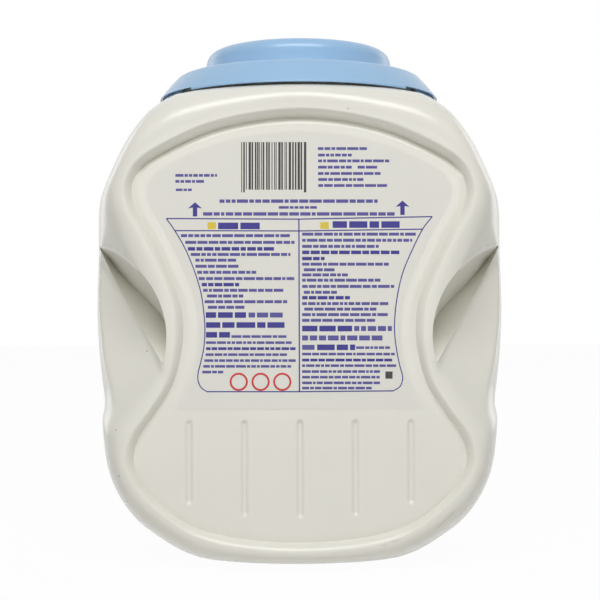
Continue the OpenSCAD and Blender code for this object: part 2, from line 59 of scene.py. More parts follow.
FOOT_BEND, RAMP_BEND, GRIP_ROUND = 1.0, 30.0, 2.4
GROOVE_PITCH, GROOVE_W, GROOVE_D = 27.2, 4.4, 1.3
GROOVE_TOP_Z, GROOVE_LOW_Z, GROOVE_RISE = 74.0, 25.4, 6.6
MOUTH_R, NECK_WALL, NECK_H, NECK_SINK = 60.5, 2.0, 11.0, 0.6
BEAD_OUT, BEAD_H, BEAD_SLOPE, BEAD_EDGE = 2.6, 1.6, 1.0, 0.4
HALF_W, HALF_D = TUB_W / 2, TUB_D / 2
FLAT_Y = HALF_D - PANEL_IN
# The skin meets the neck's wall in its middle, with a flat of the shoulder round it
ROOT_R, ROOT_FLAT = MOUTH_R + NECK_WALL / 2, 6.0

# Lid
RIM_R, RIM_GAP, COLLAR_H, CREST_R = 76.5, 0.2, 12.7, 66.0
DISC_R, DISC_H, DISC_EDGE_R, LID_WALL = 51.0, 14.2, 7.0, 1.5
PLUG_H, PLUG_GAP, SLOT_ANGLE, SLOT_H = 6.0, 0.3, 88, 1.4
# Height of the rim's flat, height and bulge of the collar's slope, width of its upper edge, its wall
RIM_FLAT, COLLAR_RISE, COLLAR_BULGE, CREST_EDGE = 0.8, COLLAR_H - 1, 0.2, 0.6
COLLAR_WALL = LID_WALL * 0.88
# Points up the outside and the inside of the collar, and the shares between which the inside runs
COLLAR_POINTS, INNER_POINTS, INNER_SHARES = 33, 13, (0.125, 0.875)
# Rounding of the crest and shelf and of the rim, as a radius and the most of a side that it takes
CREST_ROUND, RIM_ROUND, ROUND_SHARE = 0.8, 0.25, 0.45
# Least height from the slots' top to the next point, and radius that closes the disc in the middle
SLOT_STEP, CLOSED_R = 0.1, 0.001
# Crest and shelf inside it: how far in and how high they lie, and the same for the shelf's underside
CREST_IN, CREST_RISE, SHELF_IN, SHELF_RISE, UNDER_IN, UNDER_DROP = 0.8, 0.55, 3.0, 1.1, 1.6, 0.2
# Foot of the disc's wall: how far out and how high it starts, and how far the wall leans in
FOOT_OUT, FOOT_RISE, DISC_LEAN = 0.6, 0.2, 0.4
RIM_Z = SHOULDER_Z + RIM_GAP
CREST_Z = RIM_Z + COLLAR_H
SHELF_Z = CREST_Z + SHELF_RISE
SHELF_LOW_Z = SHELF_Z - LID_WALL
DISC_TOP = SHELF_Z + DISC_H
DISC_TOP_R = DISC_R - DISC_LEAN
# Width of the ring that sits on the neck past its wall, and its overlap with the shelf
SEAT_OUT, SEAT_IN = 1.0, 0.3
# Pivot lugs: their pivots, place and thickness, how far in and out they reach, gap over the slot, height
PIVOT_X, LUG_NEAR, LUG_T, LUG_IN, LUG_OUT, LUG_GAP, LUG_H = 68.5, 14.4, 2.0, 2.2, 0.9, 1.0, 6.4
LUG_LOW_Z, LUG_TOP_Z = RIM_Z + SLOT_H + LUG_GAP, RIM_Z + LUG_H

# Label
FILM_T, FILM_IN, FILM_LOW_Z = 0.12, 7.0, 79.0
# Point of the panel's outline below the film's lower edge, and points from there to the top
FILM_FIRST, FILM_POINTS = 6.6, 160

# Camera, in metres: level with the middle of the tub, behind it
CAMERA_X, CAMERA_DISTANCE, CAMERA_Z = 0.0003, 0.7, 0.1324
LENS, SENSOR, CAMERA_CLIP = 75.9, 36.0, (0.01, 20)
CAMERA_ROLL = 0.25


# Camera


def make_camera():
    data = bpy.data.cameras.new("camera")
    data.lens = LENS
    data.sensor_width = SENSOR
    data.clip_start, data.clip_end = CAMERA_CLIP
    camera = bpy.data.objects.new("camera", data)
    camera.location = (CAMERA_X, -CAMERA_DISTANCE, CAMERA_Z)
    camera.rotation_euler = (math.radians(90), math.radians(CAMERA_ROLL), 0)
    bpy.context.scene.collection.objects.link(camera)
    bpy.context.scene.camera = camera


# Materials


def new_material(name, colour, roughness):
    material = bpy.data.materials.new(name)
    material.use_nodes = True
    shader = material.node_tree.nodes["Principled BSDF"]
    shader.inputs["Base Color"].default_value = (*colour, 1)
    shader.inputs["Roughness"].default_value = roughness
    return material


def add_node(material, kind, **values):
    """Node with values for its inputs, whose names have no spaces"""
    node = material.node_tree.nodes.new(kind)
    for key, value in values.items():
        node.inputs[key].default_value = value
    return node


def link(material, source, output, target, field):
    material.node_tree.links.new(source.outputs[output], target.inputs[field])


BUMP_DETAIL, TINT_DETAIL = 2.0, 3.0


def add_noise(material, scale, detail):
    coordinates = material.node_tree.nodes.new("ShaderNodeTexCoord")
    noise = add_node(material, "ShaderNodeTexNoise", Scale=scale, Detail=detail)
    link(material, coordinates, "Object", noise, "Vector")
    return noise


def add_bump(material, layers):
    """layers: (noise scale per metre, distance in metres)"""
    shader = material.node_tree.nodes["Principled BSDF"]
    before = None
    for scale, distance in layers:
        noise = add_noise(material, scale, BUMP_DETAIL)
        bump = add_node(material, "ShaderNodeBump", Strength=1.0, Distance=distance)
        link(material, noise, "Fac", bump, "Height")
        if before:
            link(material, before, "Normal", bump, "Normal")
        before = bump
    if before:
        link(material, before, "Normal", shader, "Normal")


# Sockets of a colour mix: its share, its two colours and its result
MIX_SHARE, MIX_FIRST, MIX_SECOND, MIX_RESULT = 0, 6, 7, 2


def add_tint(material, scale, colour, other):
    """Faint cloudy change between two close colours"""
    shader = material.node_tree.nodes["Principled BSDF"]
    mix = material.node_tree.nodes.new("ShaderNodeMix")
    mix.data_type = "RGBA"
    mix.inputs[MIX_FIRST].default_value = (*colour, 1)
    mix.inputs[MIX_SECOND].default_value = (*other, 1)
    link(material, add_noise(material, scale, TINT_DETAIL), "Fac", mix, MIX_SHARE)
    link(material, mix, MIX_RESULT, shader, "Base Color")


# Materials: name, two close colours, scale of the change between them, roughness, layers of bumps
MATERIALS = {
    "white": ("white_polyethylene", (0.82, 0.805, 0.725), (0.80, 0.785, 0.705), 18, 0.24,
              [(26, 0.0006), (420, 0.00002)]),
    "blue": ("light_blue_polypropylene", (0.33, 0.54, 0.78), (0.315, 0.52, 0.76), 30, 0.26,
             [(700, 0.00001)]),
    "film": ("label_film", (0.78, 0.765, 0.70), (0.765, 0.75, 0.685), 25, 0.38,
             [(60, 0.0001), (900, 0.00001)]),
    "navy": ("navy_print", (0.02, 0.016, 0.22), (0.04, 0.03, 0.27), 900, 0.45, []),
    "small": ("navy_small_print", (0.05, 0.04, 0.26), (0.12, 0.11, 0.34), 1500, 0.45, []),
    "black": ("black_print", (0.02, 0.02, 0.022), (0.05, 0.05, 0.05), 900, 0.45, []),
    "red": ("red_print", (0.62, 0.02, 0.02), (0.56, 0.03, 0.03), 700, 0.45, []),
    "yellow": ("yellow_print", (0.75, 0.58, 0.05), (0.70, 0.52, 0.04), 700, 0.45, []),
    "grime": ("grime", (0.22, 0.20, 0.17), (0.32, 0.29, 0.24), 800, 0.6, []),
    "scuff": ("scuff", (0.60, 0.58, 0.50), (0.70, 0.68, 0.60), 500, 0.5, []),
}


def make_materials():
    made = {}
    for key, (name, colour, other, scale, roughness, bumps) in MATERIALS.items():
        material = new_material(name, colour, roughness)
        add_tint(material, scale, colour, other)
        add_bump(material, bumps)
        made[key] = material
    return made


# Pieces


def new_piece(name, points, faces, material, body, sharp=35):
    """Object of points in millimetres, with sharp edges from an angle in degrees"""
    mesh = bpy.data.meshes.new(name)
    mesh.from_pydata([tuple(float(v) * MM for v in p) for p in points], [],
                     [tuple(int(i) for i in f) for f in faces])
    mesh.validate()
    mesh.polygons.foreach_set("use_smooth", [True] * len(mesh.polygons))
    mesh.set_sharp_from_angle(angle=math.radians(sharp))
    mesh.materials.append(material)
    piece = bpy.data.objects.new(name, mesh)
    bpy.context.scene.collection.objects.link(piece)
    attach(piece, body)
    return piece


class Parts:
    """Points and faces of a mesh made from several patches"""

    def __init__(self):
        self.points = []
        self.faces = []

    def add(self, points, faces):
        """Adds a patch and returns the number of its first point"""
        start = len(self.points)
        self.points.extend(points)
        self.faces.extend([tuple(i + start for i in f) for f in faces])
        return start


def grid_faces(rows, cols, wrap, flip=False):
    """Faces between rows of points, where each row may close on itself"""
    faces = []
    for r in range(rows - 1):
        for c in range(cols if wrap else cols - 1):
            a, b = r * cols + c, r * cols + (c + 1) % cols
            face = (a, b, b + cols, a + cols)
            faces.append(face[::-1] if flip else face)
    return faces


# Smooth curve through points, as in the part's source


def beyond(end, following):
    """Point past an end: the mirror image of the next one where the curve ends in the middle"""
    mirrored = (-following[0], following[1])
    return np.array(mirrored) if end[0] == 0 else 2 * end - following


def curve(p, u):
    """Point at u, counted in points"""
    last = len(p) - 1
    i = int(min(math.floor(u), last - 1))
    a = p[i - 1] if i > 0 else beyond(p[0], p[1])
    b, c = p[i], p[i + 1]
    d = p[i + 2] if i + 2 <= last else beyond(p[last], p[last - 1])
    t = u - i
    return 0.5 * (2 * b + (c - a) * t + (2 * a - 5 * b + 4 * c - d) * t * t
                  + (3 * b - a - 3 * c + d) * t ** 3)


def soft_rise(d, k):
    """Softly bent max(0, d), whose bend is k wide"""
    return (d + math.sqrt(d * d + k * k)) / 2


def soft_min(a, b, k):
    """Softly bent min(a, b)"""
    return a - soft_rise(a - b, k)


def shoulder_point(x_in, share):
    """Point of the shoulder's outline: distance in from the widest side, share of the way down"""
    return (HALF_W - x_in, SHOULDER_Z - (SHOULDER_Z - SHOULDER_LOW_Z) * share)


def outline_points():
    """Outline of the tub in its middle plane, from the base ring up to the neck"""
    corner_w = (BULGE_W - BASE_W) / 2
    corner = [(BASE_W / 2 + corner_w * math.sin(math.radians(a)) ** CORNER_FLAT,
               BULGE_Z * (1 - math.cos(math.radians(a)))) for a in (0, 22.5, 45, 67.5, 90)]
    side = [(WAIST_W / 2, WAIST_Z), (HALF_W - 2.5, WIDEST_Z - 40), (HALF_W - 0.5, WIDEST_Z - 20),
            (HALF_W, WIDEST_Z), (HALF_W - 1.2, WIDEST_Z + 23)]
    shoulder = [shoulder_point(*v) for v in ((3.2, 1), (6.2, 0.83), (11.6, 0.63), (16.5, 0.47),
                                             (22.8, 0.31), (30.5, 0.152), (37.5, 0.03))]
    root = [(ROOT_R + ROOT_FLAT, SHOULDER_Z), (ROOT_R, SHOULDER_Z)]
    return np.array(corner + side + shoulder + root)


def panel_points():
    """Bottom of the valley round the panel, from its lowest point up to its highest"""
    low = [(0, 0), (LOBE_LOW_W * 0.393, 2.5), (LOBE_LOW_W * 0.687, 9.5), (LOBE_LOW_W - 9.5, 21),
           (LOBE_LOW_W - 1.5, 33.5), (LOBE_LOW_W, 43.5), (LOBE_LOW_W - 3, 53),
           (LOBE_LOW_W - 11, 64.5)]
    waist = [(5, -29), (0.7, -13), (0, 0), (1.8, 12), (7.5, 26)]
    top = [(LOBE_TOP_W - 9, -57.5), (LOBE_TOP_W - 2, -45.5), (LOBE_TOP_W, -35.5),
           (LOBE_TOP_W - 3, -27), (LOBE_TOP_W * 0.84, -18), (LOBE_TOP_W * 0.475, -5.5), (0, 0)]
    return np.array([(x, PANEL_LOW_Z + z) for x, z in low]
                    + [(PANEL_WAIST_W + x, PANEL_WAIST_Z + z) for x, z in waist]
                    + [(x, PANEL_TOP_Z + z) for x, z in top])


SIDE_LINE = outline_points()
PANEL_LINE = panel_points()
LAST_PANEL = len(PANEL_LINE) - 1
# Steps of the skin in a quarter: base, side and neck
BASE_N, SIDE_N, NECK_N = 8, 26, 8
QUARTER_N = BASE_N + SIDE_N + NECK_N
# Where the side's steps start on the tub's outline and end on the panel's
SIDE_START = ((0, 5, 9, 16, 19, 21, 26), (0, 3.9, 5.7, 8.7, 9.9, 11.3, 18))
SIDE_END = ((0, 5, 9, 16, 19, 21, 26), (2.5, 5, 8, 11.4, 14, 15.7, 17.4))
# How many steps a column is averaged over where the side starts and ends, how many steps on that
# fades out, and the shares at which its neighbours are taken
EVEN_REACH, EVEN_SPAN = 2.0, 5.0
EVEN_SHARES = (-1, -0.6, -0.2, 0.2, 0.6, 1)
# Depth of the valley at the panel's sides and top as shares of VALLEY_IN, and how much squarer the
# roll is at the top
VALLEY_SIDE, VALLEY_TOP, ROLL_TOP = 0.3, 2.0, 0.2
# How far the inner skin's grip lies in from the outer one's, at its floor and its foot line, in walls
FLOOR_IN, FOOT_IN = 1.35, 0.6
# Pocket of a grip: the arcs of its outer edge and of its lip as middle x, middle z and radius
POCKET_EDGE = (-104.6, 248.0, 225.2)
POCKET_LIP = (111.1, 114.6, 46.2)
# How much deeper than its outer edge it is, how far the skin is sunk behind it, and how far its rim
# reaches over the skin and stands off it
POCKET_DROP, POCKET_BEHIND, POCKET_RIM, POCKET_LIFT = 11.0, 6.0, 1.6, 0.06
# Share of the pocket's length over which it gets shallow at its two ends, and place of its bottom
# line across it, at the upper end and as it moves to the lip
POCKET_FADE, POCKET_LINE = (0.12, 0.2), (0.16, 1.1)
# Points along the pocket and across each of its two faces and its rims, and the shares of its
# length that they start and end at
POCKET_LONG, POCKET_WIDE, RIM_STEPS = 90, 10, 4
POCKET_ENDS = (0.003, 0.997)
# Half of the stretch of a curve that its direction is taken over
SLOPE_STEP = 0.01


def slope(points, u):
    """Direction of the curve at u"""
    last = len(points) - 1
    return curve(points, min(u + SLOPE_STEP, last)) - curve(points, max(u - SLOPE_STEP, 0))


def inset_point(points, u, inset):
    """Point of the curve at u, moved in at right angles to it"""
    s = slope(points, u)
    return curve(points, u) + inset * np.array((-s[1], s[0])) / np.linalg.norm(s)


def start_point(q, inset):
    """Point of the base ring, the side outline or the neck's root that column q starts at"""
    if q <= BASE_N:
        a = math.pi / 2 * q / BASE_N
        return BASE_W / 2 * math.sin(a), BASE_D / 2 * math.cos(a), inset
    if q >= BASE_N + SIDE_N:
        a = math.pi / 2 * (QUARTER_N - q) / NECK_N
        return ROOT_R * math.sin(a), ROOT_R * math.cos(a), SHOULDER_Z - inset
    x, z = inset_point(SIDE_LINE, np.interp(q - BASE_N, *SIDE_START), inset)
    return max(x, 0), 0, min(max(z, inset), SHOULDER_Z - inset)


def end_point(q):
    """Point of the panel's outline that column q ends at"""
    if q < BASE_N:
        u = SIDE_END[1][0] * q / BASE_N
    elif q > BASE_N + SIDE_N:
        u = LAST_PANEL - (LAST_PANEL - SIDE_END[1][-1]) * (QUARTER_N - q) / NECK_N
    else:
        u = np.interp(q - BASE_N, *SIDE_END)
    return curve(PANEL_LINE, u)


def inside_arc(x, z, arc):
    """Distance in from an arc, given by its middle and radius"""
    return arc[2] - math.hypot(x - arc[0], z - arc[1])


def grip_depth(x, z, inset):
    """Depth of a grip: its floor, the ramp up from it at the lower end and the steep wall to the panel"""
    lean, ramp = math.radians(GRIP_LEAN), math.radians(RAMP_LEAN)
    out, up = x - GRIP_FOOT_X, z - GRIP_FOOT_Z
    foot = -out * math.cos(lean) + up * math.sin(lean)
    low = -out * math.cos(ramp) - up * math.sin(ramp)
    return (GRIP_FLOOR - FLOOR_IN * inset + RAMP_RISE * soft_rise(low, RAMP_BEND)
            + GRIP_WALL_RISE * soft_rise(foot - FOOT_IN * inset, FOOT_BEND))


def pressed(x, y, z, inset):
    """Skin's depth with the grip, and sunk out of sight behind the grip's pocket"""
    found = soft_min(y, grip_depth(x, z, inset), GRIP_ROUND)
    if min(inside_arc(x, z, POCKET_EDGE), inside_arc(x, z, POCKET_LIP)) > 0:
        return min(found, GRIP_FLOOR - POCKET_DROP) - POCKET_BEHIND
    return found


def edge_depth(t, inset, valley):
    """Depth across the step round the panel: crest at 1, valley at 0, panel at -1"""
    wave = (1 - abs(t)) ** EDGE_SHARP
    if t >= 0:
        return HALF_D - inset - (PANEL_IN + valley) * wave
    return HALF_D - inset - PANEL_IN - valley * wave


def skin_column(q, angles, steps, inset, press=True):
    """Points from the outline in to the flat of the panel, on the front half"""
    sx, sy, sz = start_point(q, inset)
    ex, ez = end_point(q)
    far = math.hypot(sx - ex, sz - ez)
    ox, oz = (sx - ex) / far, (sz - ez) / far
    cx, cz = ex + ox * CREST_W, ez + oz * CREST_W
    points = []
    square = ROLL_SQUARE - ROLL_TOP * max(oz, 0) ** 4
    for f in angles:
        away = math.cos(math.radians(f)) ** square
        out = math.sin(math.radians(f)) ** square
        points.append((cx + (sx - cx) * away, sy + (HALF_D - inset - sy) * out,
                       cz + (sz - cz) * away))
    for t in steps:
        w = t * (CREST_W if t > 0 else BEAD_W)
        valley = VALLEY_IN * (VALLEY_SIDE + (VALLEY_TOP - VALLEY_SIDE) * max(oz, 0) ** 2)
        points.append((ex + ox * w, edge_depth(t, inset, valley), ez + oz * w))
    if not press:
        return points
    return points[:1] + [(x, pressed(x, y, z, inset), z) for x, y, z in points[1:]]


def even_column(q, angles, steps, inset, press=True):
    """Column averaged with its neighbours where the base and the neck meet the side"""
    column = skin_column(q, angles, steps, inset, press)
    gap = min(abs(q - BASE_N), abs(q - BASE_N - SIDE_N))
    reach = EVEN_REACH * max(0, 1 - gap / EVEN_SPAN)
    if reach == 0:
        return column
    near = [skin_column(min(max(q + reach * t, 0), QUARTER_N), angles, steps, inset, press)
            for t in EVEN_SHARES]
    return column[:1] + [tuple(p) for p in np.mean(np.array(near)[:, 1:], axis=0)]


def skin_grid(cols, angles, steps, inset, press=True):
    """Rows of points round one half, right side up and left side down"""
    base, side, neck = cols
    q = np.concatenate([np.linspace(0, BASE_N, base, endpoint=False),
                        np.linspace(BASE_N, BASE_N + SIDE_N, side, endpoint=False),
                        np.linspace(BASE_N + SIDE_N, QUARTER_N, neck + 1)])
    right = [even_column(v, angles, steps, inset, press) for v in q]
    left = [[(-x, y, z) for x, y, z in column] for column in right[-2:0:-1]]
    columns = right + left
    return [[column[r] for column in columns] for r in range(len(columns[0]))]


def flat_patch(loop, holes):
    """Triangles of a flat between its outer loop and rectangular holes, as (x, z) points"""
    points, edges = [], []
    for ring in [loop] + holes:
        start, n = len(points), len(ring)
        points.extend(Vector(p) for p in ring)
        edges.extend((start + i, start + (i + 1) % n) for i in range(n))
    result = delaunay_2d_cdt(points, edges, [], 1, 1e-6)
    found, triangles = result[0], result[2]
    boxes = [(min(p[0] for p in h), max(p[0] for p in h), min(p[1] for p in h),
              max(p[1] for p in h)) for h in holes]
    kept = []
    for t in triangles:
        x = sum(found[i][0] for i in t) / 3
        z = sum(found[i][1] for i in t) / 3
        if not any(b[0] < x < b[1] and b[2] < z < b[3] for b in boxes):
            kept.append(t)
    return [(p[0], p[1]) for p in found], kept


# Grooves, counted from the middle one, and the patch of the flat that holds each
GROOVES = range(-2, 3)
GROOVE_SIDE, GROOVE_END = 3.4, 3.2
GROOVE_COLS, GROOVE_ROWS = 16, 72


def groove_low(x):
    """Height of a groove's lower end, which rises towards the sides"""
    return GROOVE_LOW_Z + GROOVE_RISE * (abs(x) / (2 * GROOVE_PITCH)) ** 3


def groove_grid(middle):
    """Columns and rows of one groove's patch"""
    low, top = groove_low(middle) - GROOVE_END, GROOVE_TOP_Z + GROOVE_END
    return (np.linspace(middle - GROOVE_SIDE, middle + GROOVE_SIDE, GROOVE_COLS + 1),
            np.linspace(low, top, GROOVE_ROWS + 1))


def groove_patch(middle):
    """Points of one groove's patch, with its depth"""
    xs, zs = groove_grid(middle)
    low, top, half = groove_low(middle), GROOVE_TOP_Z, GROOVE_W / 2
    points = []
    for z in zs:
        over = max(low + half - z, z - top + half, 0)
        for x in xs:
            r = min(math.hypot(x - middle, over) / half, 1)
            points.append((x, -FLAT_Y + GROOVE_D * (1 + math.cos(math.pi * r)) / 2, z))
    return points


def groove_ring(middle):
    """Outline of one groove's patch"""
    xs, zs = groove_grid(middle)
    return ([(x, zs[0]) for x in xs] + [(xs[-1], z) for z in zs[1:]]
            + [(x, zs[-1]) for x in xs[-2::-1]] + [(xs[0], z) for z in zs[-2:0:-1]])


# Angles round the roll and steps across its edge, with the number of columns, for each skin
OUTER_ANGLES = np.concatenate([np.linspace(0, 60, 42, endpoint=False),
                               np.linspace(60, 84, 20, endpoint=False),
                               np.linspace(84, 89.7, 10)])
OUTER_STEPS = np.concatenate([np.linspace(1, 0, 11, endpoint=False), np.linspace(0, -1, 10)])
INNER_ANGLES = (0, 24, 47, 57, 66, 73, 79, 84.5)
INNER_STEPS = (1, 0.36, 0, -0.5, -1)
OUTER_COLS, INNER_COLS, PLAIN_COLS = (20, 168, 20), (8, 40, 8), (12, 120, 12)


def add_half(parts, side, inset, cols, angles, steps):
    """One half of the outer or inner skin: side is -1 at the back"""
    rows = skin_grid(cols, angles, steps, inset)
    n = len(rows[0])
    points = [(x, side * y, z) for row in rows for x, y, z in row]
    flip = (side < 0) == (inset > 0)
    parts.add(points, grid_faces(len(rows), n, True, flip=flip))
    return [(x, z) for x, y, z in rows[-1]]


def add_flat(parts, loop, y, grooved, facing_back):
    """Flat of a panel inside its step, with the grooves' patches set into it"""
    middles = [i * GROOVE_PITCH for i in GROOVES] if grooved else []
    found, triangles = flat_patch(loop, [groove_ring(m) for m in middles])
    turned = [t if facing_back else t[::-1] for t in triangles]
    parts.add([(x, y, z) for x, z in found], turned)
    for m in middles:
        parts.add(groove_patch(m), grid_faces(GROOVE_ROWS + 1, GROOVE_COLS + 1, False))


RING_POINTS = 128


def base_ring(inward, z):
    """Ring inside the edge of the base"""
    turns = [2 * math.pi * i / RING_POINTS for i in range(RING_POINTS)]
    return [((BASE_W / 2 - inward) * math.cos(a), (BASE_D / 2 - inward) * math.sin(a), z)
            for a in turns]


def add_base(parts, inset):
    """Standing ring and push-up of the outer or inner skin"""
    rings = [base_ring(0, inset), base_ring(RING_W, inset),
             base_ring(RING_W + RING_SLOPE, PUSH_UP + inset)]
    start = parts.add([p for ring in rings for p in ring],
                      grid_faces(len(rings), RING_POINTS, True, flip=inset == 0))
    cap = [start + 2 * RING_POINTS + i for i in range(RING_POINTS)]
    parts.faces.append(tuple(cap if inset else cap[::-1]))


LATHE_SEGMENTS = 256


def turned_points(outline, segments):
    """Points of a (radius, z) outline turned round the Z axis"""
    return [(r * math.cos(a), r * math.sin(a), z) for r, z in outline
            for a in (2 * math.pi * i / segments for i in range(segments))]


def lathe(parts, outline):
    """Closed ring with this outline as its section"""
    n = LATHE_SEGMENTS
    faces = grid_faces(len(outline), n, True)
    last = (len(outline) - 1) * n
    faces += [(last + i, last + (i + 1) % n, (i + 1) % n, i) for i in range(n)]
    parts.add(turned_points(outline, n), faces)


def tips(first, second):
    """The two points where two arcs meet, the upper one first"""
    ax, az, ar = first
    bx, bz, br = second
    far = math.hypot(bx - ax, bz - az)
    along = (ar * ar - br * br + far * far) / (2 * far)
    aside = math.sqrt(ar * ar - along * along)
    ux, uz = (bx - ax) / far, (bz - az) / far
    found = [(ax + along * ux - k * aside * uz, az + along * uz + k * aside * ux)
             for k in (1, -1)]
    return sorted(found, key=lambda p: -p[1])


def arc_point(arc, ends, s):
    """Point at share s of the way along an arc between its ends, the short way round"""
    turn = [math.atan2(z - arc[1], x - arc[0]) for x, z in ends]
    if turn[1] - turn[0] > math.pi:
        turn[1] -= 2 * math.pi
    if turn[0] - turn[1] > math.pi:
        turn[0] -= 2 * math.pi
    angle = turn[0] + (turn[1] - turn[0]) * s
    return arc[0] + arc[2] * math.cos(angle), arc[1] + arc[2] * math.sin(angle)


def free_skin():
    """Function that gives the skin's depth at x and z with its grip but without the pocket"""
    plain = skin_grid(PLAIN_COLS, OUTER_ANGLES, OUTER_STEPS, 0, press=False)
    faces = grid_faces(len(plain), len(plain[0]), True)
    tree = BVHTree.FromPolygons([p for row in plain for p in row], faces)

    def skin(x, z):
        roll = tree.ray_cast(Vector((x, 2 * HALF_D, z)), Vector((0, -1, 0)))[0].y
        return soft_min(roll, grip_depth(x, z, 0), GRIP_ROUND)

    return skin


def pocket_row(skin, ends, s):
    """Row across the pocket: rim, outer facet down to the bottom line, wall up to the lip, rim"""
    (ex, ez), (lx, lz) = (arc_point(arc, ends, s) for arc in (POCKET_EDGE, POCKET_LIP))
    across = math.hypot(lx - ex, lz - ez)
    fade = min(1, s / POCKET_FADE[0], (1 - s) / POCKET_FADE[1])
    low = min(POCKET_LINE[0] + POCKET_LINE[1] * s * s, 1)
    edge_y, lip_y = skin(ex, ez), skin(lx, lz)
    deep = edge_y - POCKET_DROP * fade

    def at(share):
        return ex + (lx - ex) * share, ez + (lz - ez) * share

    def rim(share):
        x, z = at(share)
        return x, skin(x, z) + POCKET_LIFT, z

    def face(start, end, start_y, end_y, t):
        x, z = at(start + (end - start) * t)
        return x, start_y + (end_y - start_y) * t, z

    shares = np.linspace(0, 1, POCKET_WIDE)
    rims = [k / RIM_STEPS * POCKET_RIM / across for k in range(1, RIM_STEPS + 1)]
    return ([rim(-share) for share in rims[::-1]] + [face(0, low, edge_y, deep, t) for t in shares]
            + [face(low, 1, deep, lip_y, t) for t in shares[1:]] + [rim(1 + share) for share in rims])


def add_pockets(parts):
    """The same pocket in each of the four grips"""
    skin = free_skin()
    ends = tips(POCKET_EDGE, POCKET_LIP)
    rows = [pocket_row(skin, ends, s) for s in np.linspace(*POCKET_ENDS, POCKET_LONG)]
    for side in (-1, 1):
        for hand in (-1, 1):
            parts.add([(hand * x, side * y, z) for row in rows for x, y, z in row],
                      grid_faces(len(rows), len(rows[0]), False, flip=side * hand < 0))


def add_neck(parts):
    """Neck, sunk into the shoulder, with the bead at its top"""
    low, top = SHOULDER_Z - NECK_SINK, SHOULDER_Z + NECK_H
    neck_r = MOUTH_R + NECK_WALL
    bead_r = neck_r + BEAD_OUT
    lathe(parts, [(MOUTH_R, low), (neck_r, low), (neck_r, top - BEAD_H - BEAD_SLOPE),
                  (bead_r, top - BEAD_H), (bead_r, top - BEAD_EDGE), (bead_r - BEAD_EDGE, top),
                  (MOUTH_R, top)])


def make_tub(materials):
    parts = Parts()
    for side in (-1, 1):
        loop = add_half(parts, side, 0, OUTER_COLS, OUTER_ANGLES, OUTER_STEPS)
        add_flat(parts, loop, side * FLAT_Y, side < 0, side < 0)
        loop = add_half(parts, side, WALL, INNER_COLS, INNER_ANGLES, INNER_STEPS)
        add_flat(parts, loop, side * (FLAT_Y - WALL), False, side > 0)
    add_pockets(parts)
    add_base(parts, 0)
    add_base(parts, WALL)
    add_neck(parts)
    piece = new_piece("tub_shell", parts.points, parts.faces, materials["white"], "tub")
    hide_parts("tub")
    return piece


# Lid


def collar_point(s, inward):
    """Point at share s of the way up the collar's slope"""
    bulge = COLLAR_BULGE * math.sin(math.pi * s)
    r = RIM_R + (CREST_R + CREST_EDGE - RIM_R) * s + bulge
    z = RIM_Z + RIM_FLAT + COLLAR_RISE * s + bulge
    return r - inward, z - inward * s


def rounded(points, radius, steps=4):
    """Rounds each corner of an outline, apart from its two ends"""
    result = [tuple(points[0])]
    for a, b, c in zip(points, points[1:], points[2:]):
        a, b, c = (np.array(p, float) for p in (a, b, c))
        room = min(radius, *(np.linalg.norm(p - b) * ROUND_SHARE for p in (a, c)))
        start = b + (a - b) / np.linalg.norm(a - b) * room
        end = b + (c - b) / np.linalg.norm(c - b) * room
        for i in range(steps + 1):
            t = i / steps
            result.append(tuple((1 - t) ** 2 * start + 2 * t * (1 - t) * b + t * t * end))
    result.append(tuple(points[-1]))
    return result


def radius_at(line, z):
    """Radius of a (radius, z) line at a height"""
    return np.interp(z, [p[1] for p in line], [p[0] for p in line])


def lid_outside(collar, start, slot_top):
    """From the slot's height over the collar, crest, shelf and disc to the middle"""
    disc = [(DISC_TOP_R - DISC_EDGE_R * (1 - math.cos(math.radians(a))),
             DISC_TOP - DISC_EDGE_R * (1 - math.sin(math.radians(a)))) for a in range(0, 91, 10)]
    crest = [(CREST_R - CREST_IN, CREST_Z + CREST_RISE), (CREST_R - SHELF_IN, SHELF_Z),
             (DISC_R + FOOT_OUT, SHELF_Z + FOOT_RISE)]
    return ([start] + [p for p in collar if p[1] > slot_top + SLOT_STEP]
            + rounded([collar[-1]] + crest + [disc[0]], CREST_ROUND)[1:-1] + disc
            + [(CLOSED_R, DISC_TOP)])


def lid_inside(inner, end, slot_top):
    """From the middle back under the disc and the shelf to the slot's height"""
    return ([(CLOSED_R, DISC_TOP - LID_WALL), (DISC_TOP_R - DISC_EDGE_R, DISC_TOP - LID_WALL),
             (DISC_TOP_R - LID_WALL, DISC_TOP - DISC_EDGE_R),
             (DISC_R - LID_WALL, SHELF_LOW_Z + FOOT_RISE), (CREST_R - SHELF_IN, SHELF_LOW_Z),
             (CREST_R - UNDER_IN, SHELF_LOW_Z - UNDER_DROP)]
            + [p for p in inner[::-1] if p[1] > slot_top + SLOT_STEP] + [end])


def lid_outlines():
    """Outlines of the lid above the slot's height and of the rim below it"""
    slot_top, flat_top = RIM_Z + SLOT_H, RIM_Z + RIM_FLAT
    collar = [collar_point(s, 0) for s in np.linspace(0, 1, COLLAR_POINTS)]
    inner = [collar_point(s, COLLAR_WALL) for s in np.linspace(*INNER_SHARES, INNER_POINTS)]
    rim_in = RIM_R - LID_WALL
    outer_edge = (radius_at(collar, slot_top), slot_top)
    inner_edge = (radius_at([(rim_in, flat_top)] + inner, slot_top), slot_top)
    main = lid_outside(collar, outer_edge, slot_top) + lid_inside(inner, inner_edge, slot_top)
    rim = rounded([inner_edge, (rim_in, flat_top), (rim_in, RIM_Z), (RIM_R, RIM_Z),
                   (RIM_R, flat_top), outer_edge], RIM_ROUND)
    return main, rim


SEGMENTS = 360


